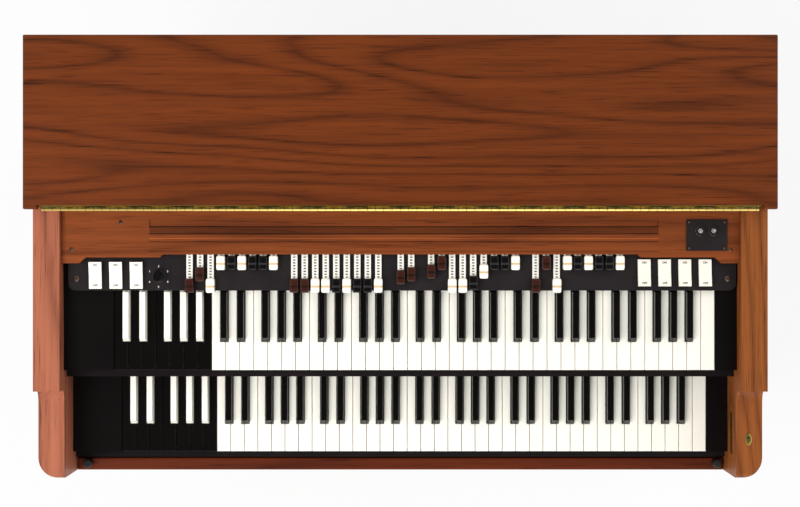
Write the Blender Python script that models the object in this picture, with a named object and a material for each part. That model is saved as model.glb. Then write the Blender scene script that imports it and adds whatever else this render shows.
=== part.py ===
"""Two-manual drawbar console organ in walnut, lid folded back, in metres with +Z up.

The origin is the middle of the footprint on the floor, the player sits towards -Y, and +X is the
player's right. Every separate piece is one named object. Run it with
blender --background --python part.py, or from the text editor.
"""

import math

import bmesh
import bpy
from mathutils import Matrix, Vector

mm = 0.001

# Clearances
seat_gap = 0.3 * mm
running_gap = 0.6 * mm
join_overlap = 1.0 * mm

# Case
case_width = 1223 * mm
case_depth = 738 * mm
end_thickness = 44 * mm
rail_top = 962 * mm
arm_top = 922 * mm
case_bottom = 735 * mm
board_thickness = 18 * mm
rail_length = 588 * mm
cove_length = 25 * mm
cove_lip = 26 * mm
arm_corner_radius = 35 * mm
arm_nose_radius = 9 * mm
arm_sweep_radius = 95 * mm
edge_ease = 1.5 * mm

# Folding top
top_overhang = 6 * mm
lid_depth = 285.4 * mm
lid_gap = 10 * mm
hinge_setback = 283.6 * mm
barrel_radius = 4.6 * mm
hinge_length = 1183 * mm
leaf_thickness = 1.2 * mm
leaf_height = 16 * mm
knuckle_count = 33
mortise_margin = 4 * mm
end_edge_gap = 2.1 * mm
flap_length = 222 * mm
flap_thickness = 9.4 * mm
flap_barrel_radius = 2.3 * mm
batten_width = 20 * mm
batten_setback = 8 * mm

# Keyboards
natural_pitch = 165 * mm / 7
natural_count = 36
keyboard_start = -318 * mm
natural_gap = 1.0 * mm
upper_key_top = 926 * mm
upper_key_front = -185.6 * mm
manual_rise = 76 * mm
manual_setback = 146.5 * mm
natural_length = 207.6 * mm
natural_depth = 20 * mm
natural_chamfer = 0.7 * mm
sharp_setback = 48.6 * mm
sharp_length = 83 * mm
black_lever_step = 2 * mm
black_lever_extra = 16 * mm
sharp_width = 13.7 * mm
sharp_top_width = 9.5 * mm
sharp_rise = 11 * mm
sharp_front_slope = 6 * mm
sharp_side_gap = 0.6 * mm
key_pivot_from_front = 193.6 * mm
sharp_pivot_step = 18 * mm
key_rail_width = 12 * mm
key_rail_depth = 13 * mm
pan_thickness = 3 * mm
preset_count = 7
moving_octave = 2

# Black fittings round the keyboards
cheek_left_width = 84.2 * mm
cheek_right_width = 36.2 * mm
cheek_step = 2.5 * mm
cheek_back = 45 * mm
slip_gap = 2 * mm
slip_width = 10.4 * mm
slip_drop = 22 * mm
slip_height = 38 * mm
front_rail_width = 21 * mm
front_rail_top = 815 * mm

# Control plate
plate_width = 1121.6 * mm
plate_centre = 3.1 * mm
plate_front = -51.3 * mm
plate_back = 15 * mm
plate_top = 937.5 * mm
sheet_thickness = 2 * mm
plate_corner_radius = 12 * mm
label_width = 40 * mm
label_depth = 45 * mm
label_thickness = 1 * mm

# Tablets and rotary knob
tablet_width = 21.1 * mm
tablet_length = 45 * mm
tablet_thickness = 5 * mm
tablet_stem_width = 17 * mm
tablet_stem_length = 9 * mm
tablet_stem_drop = 3.5 * mm
tablet_lift = 4.5 * mm
tablet_pivot_drop = 1 * mm
tablet_tilt = math.radians(7)
tablet_dish = 1.2 * mm
left_tablets_x = [-511.2 * mm, -476.9 * mm, -442.5 * mm]
left_tablets_y = -24.7 * mm
right_tablets_x = [408.9 * mm, 442.9 * mm, 476.9 * mm, 511.0 * mm]
right_tablets_y = -22.4 * mm
knob_x = -405.8 * mm
knob_y = -27.9 * mm
knob_radius = 11.7 * mm
knob_height = 14 * mm
pointer_width = 5 * mm

# Drawbars
drawbar_pitch = 17.63 * mm
drawbar_travel = 38 * mm
drawbar_front_in = -16.8 * mm
drawbar_steps = 8
rod_width = 10.5 * mm
rod_height = 4.5 * mm
rod_length = 75 * mm
drawbar_knob_width = 14.7 * mm
drawbar_knob_length = 24 * mm
drawbar_knob_height = 14 * mm
drawbar_knob_round = 4 * mm
manifold_depth = 69 * mm
manifold_height = 9 * mm
manifold_margin = 22 * mm
manifold_lug = 12 * mm
drawbar_groups = {
    "first": (-353.4 * mm, [8, 4, 8, 0, 0, 0, 0, 0, 0]),
    "second": (-177.9 * mm, [8, 8, 8, 8, 8, 8, 8, 8, 8]),
    "pedal": (0.7 * mm, [5, 4]),
    "third": (51.7 * mm, [3, 0, 8, 8, 7, 3, 0, 0, 0]),
    "fourth": (226.9 * mm, [8, 0, 8, 0, 0, 0, 0, 0, 0]),
}
moving_group = "second"

# Walnut shelf above the control plate
shelf_underside = 944 * mm
shelf_thickness = 6 * mm
shelf_back = 118 * mm
shelf_front = 9.5 * mm
shelf_shoulder_front = 4.5 * mm
shelf_end_front = -5.4 * mm
shelf_centre_half = 402 * mm
shelf_shoulder_half = 526 * mm
shelf_end_half = 537 * mm
groove_left = -419.6 * mm
groove_right = 431.8 * mm
groove_depth = 2.5 * mm
sunken_band = (54.9 * mm, 66.6 * mm)
scored_lines = [44.6 * mm, 14.2 * mm]
scored_width = 1.4 * mm
switch_plate_x = (478 * mm, 546 * mm)
switch_plate_y = (15.8 * mm, 68.2 * mm)
toggle_x = [501.5 * mm, 523.4 * mm]
toggle_y = 48.8 * mm
toggle_tilt = math.radians(12)
toggle_names = ["start_toggle", "run_toggle"]
toggle_lean = [1, -1]
bezel_radius = 8.5 * mm
bezel_height = 3 * mm
toggle_length = 9 * mm
toggle_tip_radius = 2.9 * mm
toggle_root_radius = 1.7 * mm

# Lid lock in the right arm
lock_y = -297 * mm
lock_z = 882 * mm
lock_plate_length = 70 * mm
lock_plate_height = 15 * mm
lock_plate_thickness = 1.5 * mm
lock_case_length = 50 * mm
lock_case_height = 12 * mm
lock_case_width = 28 * mm
bolt_length = 24 * mm
bolt_depth = 14 * mm
bolt_height = 6 * mm

# Back panel and inside
vent_rows = 3
vent_columns = 8
vent_width = 70 * mm
vent_height = 8 * mm
vent_pitch_z = 32 * mm
generator_length = 900 * mm
generator_depth = 170 * mm
generator_height = 130 * mm
generator_back_gap = 25 * mm
motor_radius = 42 * mm
motor_length = 74 * mm

# Base
runner_height = 60 * mm
runner_width = 58 * mm
runner_inset = 12 * mm
runner_end_radius = 30 * mm
leg_width = 54 * mm
leg_inset = 66 * mm
foot_block_top = 118 * mm
lower_block = (150 * mm, 330 * mm)
upper_block_bottom = 634 * mm
leg_neck_radius = 15 * mm
leg_belly_radius = 26 * mm
toe_board_height = 150 * mm
toe_board_inset = 10 * mm
pedal_x = 150 * mm
pedal_width = 112 * mm
pedal_length = 262 * mm
pedal_thickness = 14 * mm
pedal_pivot_y = 145 * mm
pedal_pivot_z = 190 * mm
pedal_tilt = math.radians(25)
pedal_shaft_radius = 5 * mm
pedal_shaft_drop = 14 * mm
pedal_tread_count = 9
pedal_tread_depth = 2 * mm
lug_thickness = 10 * mm
lug_height = 40 * mm
lug_gap = 3 * mm

# Places worked out from the sizes above
inner_half = case_width / 2 - end_thickness
case_back = case_depth / 2
case_front = -case_depth / 2
rail_front = case_back - rail_length
top_surface = rail_top + seat_gap + board_thickness
hinge_y = case_back - hinge_setback
hinge_z = top_surface + lid_gap / 2
lid_bottom = top_surface + lid_gap
lid_half_width = case_width / 2 + top_overhang
preset_start = keyboard_start - preset_count * natural_pitch
cheek_left_inner = -inner_half + seat_gap + cheek_left_width
cheek_right_inner = inner_half - seat_gap - cheek_right_width
lower_key_top = upper_key_top - manual_rise
lower_key_front = upper_key_front - manual_setback
cheek_top = upper_key_top + cheek_step
key_bed_top = case_bottom + board_thickness
rod_bottom = plate_top + 0.5 * mm
manifold_top = rod_bottom - seat_gap
shelf_top = shelf_underside + shelf_thickness
left_leg_x = -case_width / 2 + runner_inset + runner_width / 2


def clear_scene():
    """Empty the file without closing it."""
    for item in list(bpy.data.objects):
        bpy.data.objects.remove(item, do_unlink=True)
    for item in list(bpy.data.meshes):
        bpy.data.meshes.remove(item)


def linear(value):
    """One sRGB channel as linear light."""
    return value / 12.92 if value <= 0.04045 else ((value + 0.055) / 1.055) ** 2.4


def finish_material(name, colour, roughness, metallic=0.0):
    """A plain Principled material from an sRGB hex colour."""
    material = bpy.data.materials.new(name)
    material.use_nodes = True
    shader = material.node_tree.nodes["Principled BSDF"]
    channels = [linear(int(colour[i:i + 2], 16) / 255) for i in (1, 3, 5)]
    shader.inputs["Base Color"].default_value = (*channels, 1.0)
    shader.inputs["Roughness"].default_value = roughness
    shader.inputs["Metallic"].default_value = metallic
    return material


def add_object(name, mesh):
    item = bpy.data.objects.new(name, mesh)
    bpy.context.scene.collection.objects.link(item)
    return item


def from_bmesh(name, bm):
    """A new object whose faces point out."""
    bmesh.ops.recalc_face_normals(bm, faces=bm.faces)
    mesh = bpy.data.meshes.new(name)
    bm.to_mesh(mesh)
    bm.free()
    return add_object(name, mesh)


def block(name, x, y, z, ease=0.0):
    """A board between three pairs of coordinates, with its edges eased."""
    bm = bmesh.new()
    size = Vector((x[1] - x[0], y[1] - y[0], z[1] - z[0]))
    middle = Vector((x[0] + x[1], y[0] + y[1], z[0] + z[1])) / 2
    bmesh.ops.create_cube(bm, size=1, matrix=Matrix.Translation(middle) @ Matrix.Diagonal((*size, 1)))
    if ease:
        bmesh.ops.bevel(bm, geom=bm.edges, offset=ease, segments=1, affect="EDGES")
    return from_bmesh(name, bm)


def place(axis, u, v, w):
    """The point whose coordinate along axis is w, and whose other two are u and v in X, Y, Z order."""
    point = {"X": (w, u, v), "Y": (u, w, v), "Z": (u, v, w)}[axis]
    return Vector(point)


def prism(name, outline, axis, low, high):
    """An outline in the plane across axis, extruded from low to high."""
    bm = bmesh.new()
    face = bm.faces.new([bm.verts.new(place(axis, u, v, low)) for u, v in outline])
    grown = bmesh.ops.extrude_face_region(bm, geom=[face])
    moved = [g for g in grown["geom"] if isinstance(g, bmesh.types.BMVert)]
    bmesh.ops.translate(bm, verts=moved, vec=place(axis, 0, 0, high - low))
    return from_bmesh(name, bm)


def loft(name, rings):
    """A closed solid through rings of equally many points."""
    bm = bmesh.new()
    rows = [[bm.verts.new(point) for point in ring] for ring in rings]
    count = len(rings[0])
    for near, far in zip(rows, rows[1:]):
        for i in range(count):
            j = (i + 1) % count
            bm.faces.new((near[i], near[j], far[j], far[i]))
    bm.faces.new(rows[0])
    bm.faces.new(rows[-1])
    return from_bmesh(name, bm)


def turned(name, profile, axis, centre, sides):
    """A revolved solid: profile holds (distance along axis, radius), and no radius is zero."""
    rings = []
    for along, radius in profile:
        ring = []
        for i in range(sides):
            angle = 2 * math.pi * (i + 0.5) / sides
            offset = place(axis, radius * math.cos(angle), radius * math.sin(angle), along)
            ring.append(Vector(centre) + offset)
        rings.append(ring)
    return loft(name, rings)


def arc(centre_u, centre_v, radius, start, end, steps):
    """Points of an arc in degrees, both ends included."""
    angles = [math.radians(start + (end - start) * i / steps) for i in range(steps + 1)]
    return [(centre_u + radius * math.cos(a), centre_v + radius * math.sin(a)) for a in angles]


def joined(name, items):
    """Several solids that don't meet, gathered in one object."""
    bm = bmesh.new()
    for item in items:
        bm.from_mesh(item.data)
        bpy.data.objects.remove(item, do_unlink=True)
    return from_bmesh(name, bm)


def combine(item, tool, operation):
    """An exact Boolean of item with tool, applied, and the tool removed."""
    modifier = item.modifiers.new(operation.lower(), "BOOLEAN")
    modifier.object = tool
    modifier.operation = operation
    modifier.solver = "EXACT"
    graph = bpy.context.evaluated_depsgraph_get()
    graph.update()
    mesh = bpy.data.meshes.new_from_object(item.evaluated_get(graph))
    item.modifiers.clear()
    item.data = mesh
    bpy.data.objects.remove(tool, do_unlink=True)
    return item


def fused(item, *tools):
    for tool in tools:
        combine(item, tool, "UNION")
    return item


def cut(item, *tools):
    for tool in tools:
        combine(item, tool, "DIFFERENCE")
    return item


def finish(item, material, pivot=None, smooth=False):
    """Gives a piece its material, and its origin on its joint's axis."""
    item.data.name = item.name
    item.data.materials.clear()
    item.data.materials.append(material)
    if pivot:
        item.data.transform(Matrix.Translation(-Vector(pivot)))
        item.location = pivot
    if smooth:
        item.data.shade_smooth()
        item.data.set_sharp_from_angle(angle=math.radians(35))
    return item


def turn_mesh(item, centre, axis, angle):
    """Turns a piece about a line through centre."""
    there = Matrix.Translation(Vector(centre))
    item.data.transform(there @ Matrix.Rotation(angle, 4, axis) @ there.inverted())


def end_outline():
    """Side view of an end panel: flat rail, cove, arm, and a swept underside at the front."""
    nose = arc(case_front + arm_nose_radius, arm_top - arm_nose_radius, arm_nose_radius, 90, 180, 4)
    cove_height = rail_top - cove_lip - arm_top
    cove = [(rail_front - cove_length * (1 - math.cos(math.pi / 2 * i / 6)),
             arm_top + cove_height * (1 - math.sin(math.pi / 2 * i / 6))) for i in range(7)]
    lower_front = [(case_front, case_bottom + arm_sweep_radius * 0.8), (case_front + 14 * mm, case_bottom)]
    return [(case_back, case_bottom), (case_back, rail_top), (rail_front, rail_top)] + cove + nose + lower_front


def end_panel(side):
    """One end of the case, its outer front corner rounded in plan. side is -1 or 1."""
    name = "left_end_panel" if side < 0 else "right_end_panel"
    outer = side * case_width / 2
    inner = side * inner_half
    panel = prism(name, end_outline(), "X", min(inner, outer), max(inner, outer))
    corner = arc(outer - side * arm_corner_radius, case_front + arm_corner_radius, arm_corner_radius,
                 0 if side > 0 else 180, -90 if side > 0 else 270, 8)
    tool = prism("plan", corner + [(inner - side * end_thickness, case_front),
                                   (inner - side * end_thickness, case_back + end_thickness),
                                   (outer, case_back + end_thickness)],
                 "Z", case_bottom - end_thickness, rail_top + end_thickness)
    return combine(panel, tool, "INTERSECT")


def octave_sharps():
    """Left edges of an octave's five sharps from its C, each group of naturals sharing its width evenly."""
    low_tail = (3 * natural_pitch - 2 * sharp_width) / 3
    high_tail = (4 * natural_pitch - 3 * sharp_width) / 4
    low = [(i + 1) * low_tail + i * sharp_width for i in range(2)]
    high = [3 * natural_pitch + (i + 1) * high_tail + i * sharp_width for i in range(3)]
    return low + high


def sharps_between(start, first, last):
    """Left edges of the sharps that lie between two naturals' numbers, for a row that starts at a C."""
    edges = []
    for octave in range(-2, natural_count // 7 + 2):
        edges += [start + octave * 7 * natural_pitch + left for left in octave_sharps()]
    low = start + first * natural_pitch
    high = start + last * natural_pitch
    return [left for left in edges if low - mm < left and left + sharp_width < high + mm]


def natural_key(name, left, sharps, front, top, bottom, reach):
    """A natural: full width in front of the sharps, narrowed beside them, with its top edges eased."""
    right = left + natural_pitch - natural_gap / 2
    left += natural_gap / 2
    notch = front + sharp_setback - 2 * sharp_side_gap
    back = front + reach
    tail_left = left
    tail_right = right
    for sharp in sharps:
        if sharp < left < sharp + sharp_width:
            tail_left = sharp + sharp_width + sharp_side_gap / 2
        if sharp < right < sharp + sharp_width:
            tail_right = sharp - sharp_side_gap / 2
    outline = [(left, front), (right, front)]
    if tail_right < right:
        outline += [(right, notch), (tail_right, notch)]
    outline += [(tail_right, back), (tail_left, back)]
    if tail_left > left:
        outline += [(tail_left, notch), (left, notch)]
    bm = bmesh.new()
    face = bm.faces.new([bm.verts.new((x, y, top)) for x, y in outline])
    grown = bmesh.ops.extrude_face_region(bm, geom=[face])
    moved = [g for g in grown["geom"] if isinstance(g, bmesh.types.BMVert)]
    bmesh.ops.translate(bm, verts=moved, vec=(0, 0, bottom - top))
    bmesh.ops.recalc_face_normals(bm, faces=bm.faces)
    upper_edges = [e for e in bm.edges if all(abs(v.co.z - top) < seat_gap for v in e.verts)]
    bmesh.ops.bevel(bm, geom=upper_edges, offset=natural_chamfer, segments=1, affect="EDGES")
    return from_bmesh(name, bm)


def sharp_key(name, left, front, top, bottom, reach):
    """A sharp: a raised tapered stick with a sloped front, on a lever that runs back under the plate."""
    centre = left + sharp_width / 2
    half = sharp_width / 2 - sharp_side_gap / 2
    half_top = sharp_top_width / 2
    nose = front + sharp_setback
    heel = nose + sharp_length
    shoulder = top - 2 * mm
    stations = [
        (nose, top + 1 * mm, half - 1 * mm),
        (nose + sharp_front_slope, top + sharp_rise, half_top),
        (heel, top + sharp_rise, half_top),
        (heel + 0.5 * mm, top, half - 1 * mm),
        (front + reach, top, half - 1 * mm),
    ]
    rings = []
    for y, crest, crest_half in stations:
        rings.append([(centre - half, y, bottom), (centre + half, y, bottom), (centre + half, y, shoulder),
                      (centre + crest_half, y, crest), (centre - crest_half, y, crest),
                      (centre - half, y, shoulder)])
    return loft(name, rings)


def key_rail(name, back_from_front, front, bottom, top, pan=0.0):
    """The chassis rail that a row of key levers is fixed on, with a pan under the keys if it is given."""
    start = cheek_left_inner + seat_gap
    end = cheek_right_inner - seat_gap
    low = front + back_from_front
    rail = block(name, (start, end), (low, low + key_rail_width), (bottom, top))
    if pan:
        tray = block("pan", (start, end), (low - pan, low + key_rail_width / 2),
                     (bottom - pan_thickness, bottom + seat_gap))
        fused(rail, tray)
    return rail


def build_manual(level, front, top, ivory, ebony):
    """One manual: its white and black nodes, and on the upper one an octave of keys that really move."""
    naturals = range(natural_count)
    moving = range(7 * moving_octave, 7 * moving_octave + 7) if level == "upper" else range(0)
    all_sharps = sharps_between(keyboard_start, 0, natural_count)
    preset_sharps = sharps_between(keyboard_start, -preset_count, 0)
    bottom = top - natural_depth
    white_reach = natural_length
    black_reach = natural_length + black_lever_extra
    rail_bottom = bottom - key_rail_depth + join_overlap
    moving_sharps = sharps_between(keyboard_start, moving.start, moving.stop) if moving else []
    white_rail_top = bottom + join_overlap
    black_bottom = bottom + black_lever_step
    black_rail_from_front = key_pivot_from_front + sharp_pivot_step
    names = "C D E F G A B".split()
    sharp_names = ["C_sharp", "D_sharp", "F_sharp", "G_sharp", "A_sharp"]

    whites = []
    for i in naturals:
        left = keyboard_start + i * natural_pitch
        if i in moving:
            key = natural_key(f"key_{names[i % 7]}", left, all_sharps, front, top,
                              white_rail_top + seat_gap, white_reach)
            finish(key, ivory, (left + natural_pitch / 2, front + key_pivot_from_front,
                                white_rail_top + seat_gap))
        else:
            whites.append(natural_key("white", left, all_sharps, front, top, bottom, white_reach))
    whites += [sharp_key("white", left, front, top, bottom, white_reach) for left in preset_sharps]

    blacks = []
    for left in all_sharps:
        if left in moving_sharps:
            order = moving_sharps.index(left)
            key = sharp_key(f"key_{sharp_names[order]}", left, front, top,
                            black_bottom + join_overlap + seat_gap, black_reach)
            finish(key, ebony, (left + sharp_width / 2, front + black_rail_from_front,
                                black_bottom + join_overlap + seat_gap))
        else:
            blacks.append(sharp_key("black", left, front, top, black_bottom, black_reach))
    for i in range(preset_count):
        left = preset_start + i * natural_pitch
        blacks.append(natural_key("black", left, preset_sharps, front, top, black_bottom, black_reach))

    white_rail = key_rail("white_rail", key_pivot_from_front, front, rail_bottom, white_rail_top,
                          pan=key_pivot_from_front - slip_gap)
    black_rail = key_rail("black_rail", black_rail_from_front, front,
                          rail_bottom, black_bottom + join_overlap)
    white = fused(white_rail, joined("whites", whites))
    white.name = f"{level}_white_keys"
    finish(white, ivory)
    black = fused(black_rail, joined("blacks", blacks))
    black.name = f"{level}_black_keys"
    finish(black, ebony)


clear_scene()
walnut = finish_material("walnut veneer", "#7a3e20", 0.35)
walnut_dark = finish_material("walnut edge", "#5c2b18", 0.4)
ivory = finish_material("ivory acrylic", "#fbf8ec", 0.25)
ebony = finish_material("black acrylic", "#16120f", 0.2)
brass = finish_material("lacquered brass", "#cdb25a", 0.3, 1.0)
steel = finish_material("plated steel", "#b9b9bb", 0.3, 1.0)
plate_black = finish_material("enamelled plate", "#2b2829", 0.4)
felt_black = finish_material("black slip", "#1c1a1b", 0.5)
brown = finish_material("brown plastic", "#4a2a22", 0.35)
white_plastic = finish_material("white plastic", "#f4f0e4", 0.35)
ply = finish_material("plywood", "#9a7248", 0.7)
tread = finish_material("cast aluminium", "#8b8c8e", 0.45, 1.0)

# Case: ends, bottom, back, front rail
side_gap = inner_half - seat_gap
finish(end_panel(-1), walnut)
right_end = end_panel(1)
pocket_x = (inner_half - join_overlap, inner_half + lock_case_width + seat_gap)
pocket = block("pocket", pocket_x,
               (lock_y - lock_case_length / 2 - seat_gap, lock_y + lock_case_length / 2 + seat_gap),
               (lock_z - lock_case_height / 2 - seat_gap, lock_z + lock_case_height / 2 + seat_gap))
recess = block("recess", (inner_half - join_overlap, inner_half + lock_plate_thickness + seat_gap),
               (lock_y - lock_plate_length / 2 - seat_gap, lock_y + lock_plate_length / 2 + seat_gap),
               (lock_z - lock_plate_height / 2 - seat_gap, lock_z + lock_plate_height / 2 + seat_gap))
finish(cut(right_end, pocket, recess), walnut)
back_inner = case_back - board_thickness
rail_back = case_front + front_rail_width
finish(block("key_bed", (-side_gap, side_gap), (rail_back + seat_gap, back_inner - seat_gap),
             (case_bottom, key_bed_top)), ply)
finish(block("front_rail", (-side_gap, side_gap), (case_front, rail_back),
             (case_bottom, front_rail_top), edge_ease), walnut_dark)
back_panel = block("back_panel", (-side_gap, side_gap), (back_inner, case_back), (case_bottom, rail_top))
slots = []
for row in range(vent_rows):
    for column in range(vent_columns):
        x = (column - (vent_columns - 1) / 2) * (vent_width + 2 * end_thickness / 3)
        z = (case_bottom + rail_top) / 2 + (row - (vent_rows - 1) / 2) * vent_pitch_z
        slots.append(block("slot", (x - vent_width / 2, x + vent_width / 2),
                           (back_inner - mm, case_back + mm), (z - vent_height / 2, z + vent_height / 2)))
finish(cut(back_panel, joined("slots", slots)), walnut_dark)

# Fixed half of the top, with the batten that the shelf is screwed to
top_front = hinge_y + end_edge_gap
leaf_face = hinge_y + barrel_radius
fixed_top = block("fixed_top", (-lid_half_width, lid_half_width), (top_front, case_back),
                  (rail_top + seat_gap, top_surface), edge_ease)
batten_low = leaf_face + batten_setback
batten = block("batten", (-side_gap + seat_gap, side_gap - seat_gap), (batten_low, batten_low + batten_width),
               (shelf_top + seat_gap, rail_top + join_overlap))
fixed_notch = block("notch", (-hinge_length / 2 - mortise_margin, hinge_length / 2 + mortise_margin),
                    (top_front - mm, leaf_face + seat_gap), (rail_top - mm, top_surface + mm))
finish(cut(fused(fixed_top, batten), fixed_notch), walnut)

# Folding lid, the flap folded under it, and the strip hinge between the two halves of the top
lid = block("lid", (-lid_half_width, lid_half_width), (case_back - lid_depth, case_back),
            (lid_bottom, lid_bottom + board_thickness), edge_ease)
lid_notch = block("notch", (-hinge_length / 2 - mortise_margin, hinge_length / 2 + mortise_margin),
                  (case_back - lid_depth - mm, leaf_face + seat_gap),
                  (lid_bottom - mm, lid_bottom + board_thickness + mm))
finish(cut(lid, lid_notch), walnut, (0, hinge_y, hinge_z))
flap_back = case_back - 2 * flap_barrel_radius
flap_low = top_surface + seat_gap
flap = block("fall_flap", (-side_gap + seat_gap, side_gap - seat_gap), (flap_back - flap_length, flap_back),
             (flap_low, flap_low + flap_thickness), edge_ease)
roll = turned("roll", [(-hinge_length / 2 + end_thickness, flap_barrel_radius),
                       (hinge_length / 2 - end_thickness, flap_barrel_radius)], "X",
              (0, flap_back + flap_barrel_radius / 2, flap_low + flap_thickness / 2), 10)
finish(fused(flap, roll), walnut, (0, hinge_y, hinge_z))
knuckle_pitch = hinge_length / knuckle_count


def strip_leaf(name, first, low, high):
    """One leaf of the strip hinge: a brass strip whose edge is rolled into every second knuckle."""
    strip = block("strip", (-hinge_length / 2, hinge_length / 2), (leaf_face - leaf_thickness, leaf_face),
                  (low, high))
    knuckles = []
    for i in range(first, knuckle_count, 2):
        start = -hinge_length / 2 + i * knuckle_pitch
        knuckles.append(turned("knuckle", [(start + seat_gap / 2, barrel_radius),
                                           (start + knuckle_pitch - seat_gap / 2, barrel_radius)],
                               "X", (0, hinge_y, hinge_z), 8))
    rest = []
    for i in range(1 - first, knuckle_count, 2):
        start = -hinge_length / 2 + i * knuckle_pitch
        rest.append(block("gap", (start - seat_gap, start + knuckle_pitch + seat_gap),
                          (hinge_y - 2 * barrel_radius, leaf_face + mm),
                          (hinge_z - barrel_radius - seat_gap, hinge_z + barrel_radius + seat_gap)))
    leaf = cut(strip, joined("gaps", rest))
    leaf = fused(leaf, joined("knuckles", knuckles))
    leaf.name = name
    return leaf


finish(strip_leaf("hinge_fixed_leaf", 0, hinge_z - barrel_radius - leaf_height, hinge_z + seat_gap), brass)
finish(strip_leaf("hinge_lid_leaf", 1, hinge_z - seat_gap, hinge_z + barrel_radius + leaf_height), brass,
       (0, hinge_y, hinge_z))

# Manuals
build_manual("upper", upper_key_front, upper_key_top, ivory, ebony)
build_manual("lower", lower_key_front, lower_key_top, ivory, ebony)


def cheek_block(name, left, right):
    """A stepped black block beside both manuals, from the key bed up to the control plate."""
    lower = lower_key_top + cheek_step
    outline = [(lower_key_front, key_bed_top + seat_gap), (lower_key_front, lower),
               (upper_key_front, lower), (upper_key_front, cheek_top),
               (cheek_back, cheek_top), (cheek_back, key_bed_top + seat_gap)]
    finish(prism(name, outline, "X", left, right), ebony)


cheek_block("left_cheek_block", -side_gap, cheek_left_inner)
cheek_block("right_cheek_block", cheek_right_inner, side_gap)
for slip_name, front, top, height in [("upper_key_slip", upper_key_front, upper_key_top, slip_height),
                                      ("lower_key_slip", lower_key_front, lower_key_top, slip_height * 1.6)]:
    crest = top - slip_drop
    finish(block(slip_name, (-side_gap, side_gap), (front - slip_gap - slip_width, front - seat_gap),
                 (crest - height, crest)), felt_black)

# Control plate: a folded sheet with its lips on the cheek blocks
plate_x = (plate_centre - plate_width / 2, plate_centre + plate_width / 2)
plate_floor = cheek_top + seat_gap


def plate_outline(shrink):
    """The plate in plan, its two front corners rounded, drawn in by shrink."""
    radius = plate_corner_radius - shrink
    left = plate_x[0] + shrink
    right = plate_x[1] - shrink
    front = plate_front + shrink
    back = plate_back - shrink
    return (arc(left + radius, front + radius, radius, 180, 270, 4)
            + arc(right - radius, front + radius, radius, 270, 360, 4) + [(right, back), (left, back)])


control_plate = prism("control_plate", plate_outline(0), "Z", plate_floor, plate_top)
hollow = prism("hollow", plate_outline(sheet_thickness), "Z", plate_floor - mm, plate_top - sheet_thickness)
windows = []
tablets = [("left", i, x, left_tablets_y, 1) for i, x in enumerate(left_tablets_x)]
tablets += [("right", i, x, right_tablets_y, -1) for i, x in enumerate(right_tablets_x)]
for side, i, x, y, lean in tablets:
    half_x = tablet_stem_width / 2 + running_gap
    half_y = tablet_stem_length / 2 + running_gap
    windows.append(block("window", (x - half_x, x + half_x), (y - half_y, y + half_y),
                         (plate_floor, plate_top + mm)))
label = block("label", (knob_x - label_width / 2, knob_x + label_width / 2),
              (knob_y - label_depth / 2 + 4 * mm, knob_y + label_depth / 2 - 4 * mm),
              (plate_top - mm, plate_top + label_thickness))
control_plate = cut(control_plate, hollow, joined("windows", windows))
finish(fused(control_plate, label), plate_black)

# Tablets rock on a pin at the level of the plate
for side, i, x, y, lean in tablets:
    pivot = (x, y, plate_top - tablet_pivot_drop)
    crest = plate_top + tablet_lift - tablet_pivot_drop + tablet_thickness
    low = crest - tablet_thickness
    half = tablet_length / 2
    side_view = [(y - half, low), (y + half, low), (y + half, crest), (y, crest - tablet_dish),
                 (y - half, crest)]
    cap = prism("cap", side_view, "X", x - tablet_width / 2, x + tablet_width / 2)
    stem = block("stem", (x - tablet_stem_width / 2, x + tablet_stem_width / 2),
                 (y - tablet_stem_length / 2, y + tablet_stem_length / 2),
                 (plate_top - tablet_stem_drop, low + mm))
    tablet = fused(cap, stem)
    tablet.name = f"{side}_tablet_{i + 1}"
    turn_mesh(tablet, pivot, "X", lean * tablet_tilt)
    finish(tablet, white_plastic, pivot)

# Rotary knob with its pointer bar
knob_low = plate_top + label_thickness + seat_gap
knob = turned("vibrato_knob", [(knob_low, knob_radius), (knob_low + 3 * mm, knob_radius),
                               (knob_low + 4 * mm, knob_radius * 0.82),
                               (knob_low + knob_height - mm, knob_radius * 0.74),
                               (knob_low + knob_height, knob_radius * 0.66)], "Z", (knob_x, knob_y, 0), 24)
pointer = block("pointer", (knob_x - pointer_width / 2, knob_x + pointer_width / 2),
                (knob_y, knob_y + knob_radius), (knob_low + mm, knob_low + knob_height + mm))
finish(fused(knob, pointer), ebony, (knob_x, knob_y, knob_low))


def drawbar(name, x, pull, lower=0.0):
    """A drawbar: a flat rod on the plate and a rounded knob at its front."""
    front = drawbar_front_in - drawbar_travel * pull / drawbar_steps
    back = front + drawbar_knob_length
    half = drawbar_knob_width / 2
    high = rod_bottom + drawbar_knob_height
    view = [(front, rod_bottom), (back, rod_bottom), (back, high - drawbar_knob_round),
            (back - drawbar_knob_round, high), (front + drawbar_knob_round, high),
            (front, high - drawbar_knob_round)]
    knob = prism("knob", view, "X", x - half, x + half)
    if lower:
        foot = (manifold_front, back + rod_length)
        view = [(back - 2 * mm, rod_bottom), (foot[0] + mm, rod_bottom), (foot[0] + mm, rod_bottom - lower),
                (foot[1], rod_bottom - lower), (foot[1], rod_bottom + rod_height),
                (back - 2 * mm, rod_bottom + rod_height)]
        rod = prism("rod", view, "X", x - rod_width / 2, x + rod_width / 2)
    else:
        rod = block("rod", (x - rod_width / 2, x + rod_width / 2), (back - 2 * mm, back + rod_length),
                    (rod_bottom, rod_bottom + rod_height))
    bar = fused(knob, rod)
    bar.name = name
    return bar


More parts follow.
